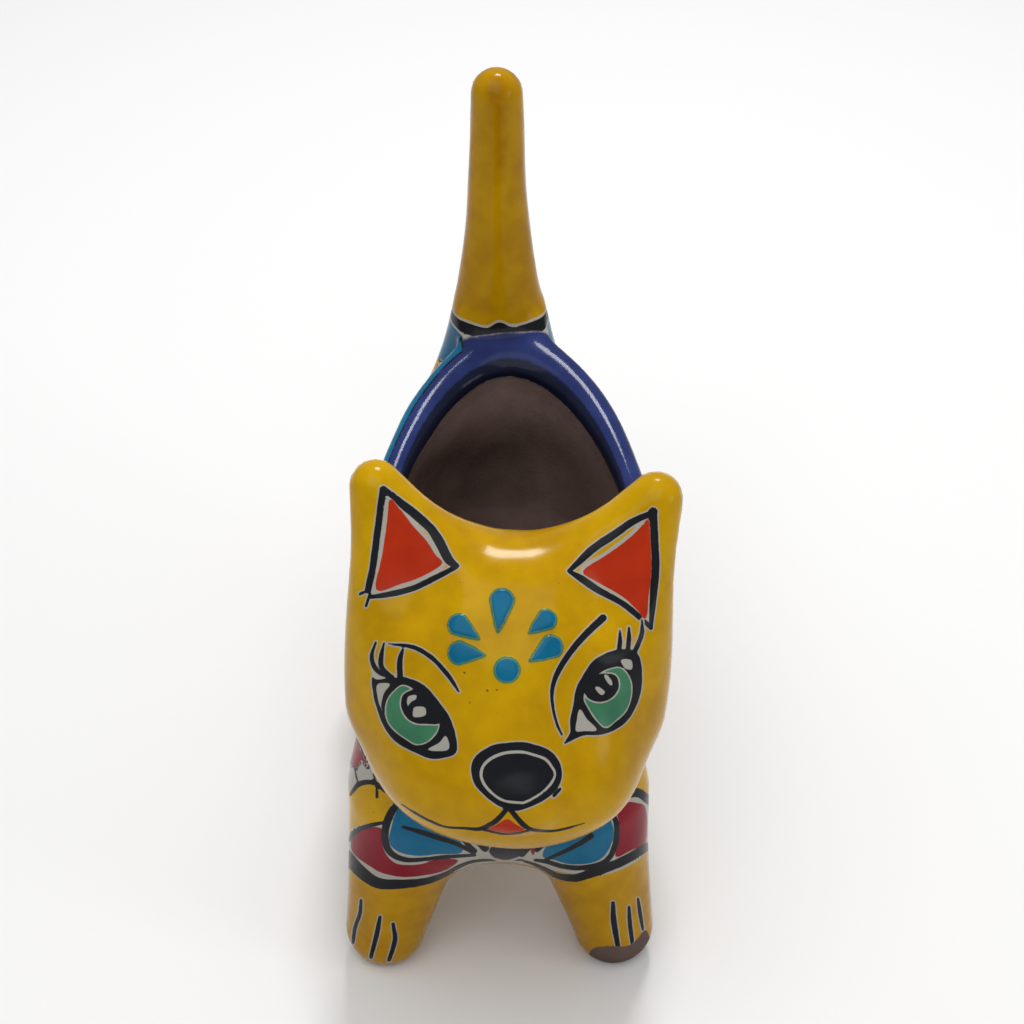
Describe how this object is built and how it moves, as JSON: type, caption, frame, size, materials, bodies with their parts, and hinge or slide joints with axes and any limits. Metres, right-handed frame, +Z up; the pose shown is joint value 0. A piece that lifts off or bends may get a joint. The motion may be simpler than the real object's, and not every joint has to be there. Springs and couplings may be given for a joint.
{
  "type": "ceramic cat planter",
  "caption": "Hollow glazed ceramic cat on short legs, open along its back as a planter, with an upright tail.",
  "frame": {"origin": "on the ground, under the middle of the bounding box", "axes": "+Z up; -Y is where the face looks; +Y is the tail's side; +X is the cat's left side"},
  "size_m": [0.1104, 0.283, 0.2428],
  "materials": {
    "glazed_earthenware": "gloss yellow glaze, hand-painted, bare clay inside"
  },
  "bodies": {
    "root": {"cat_planter": "glazed_earthenware"}
  },
  "joints": []
}
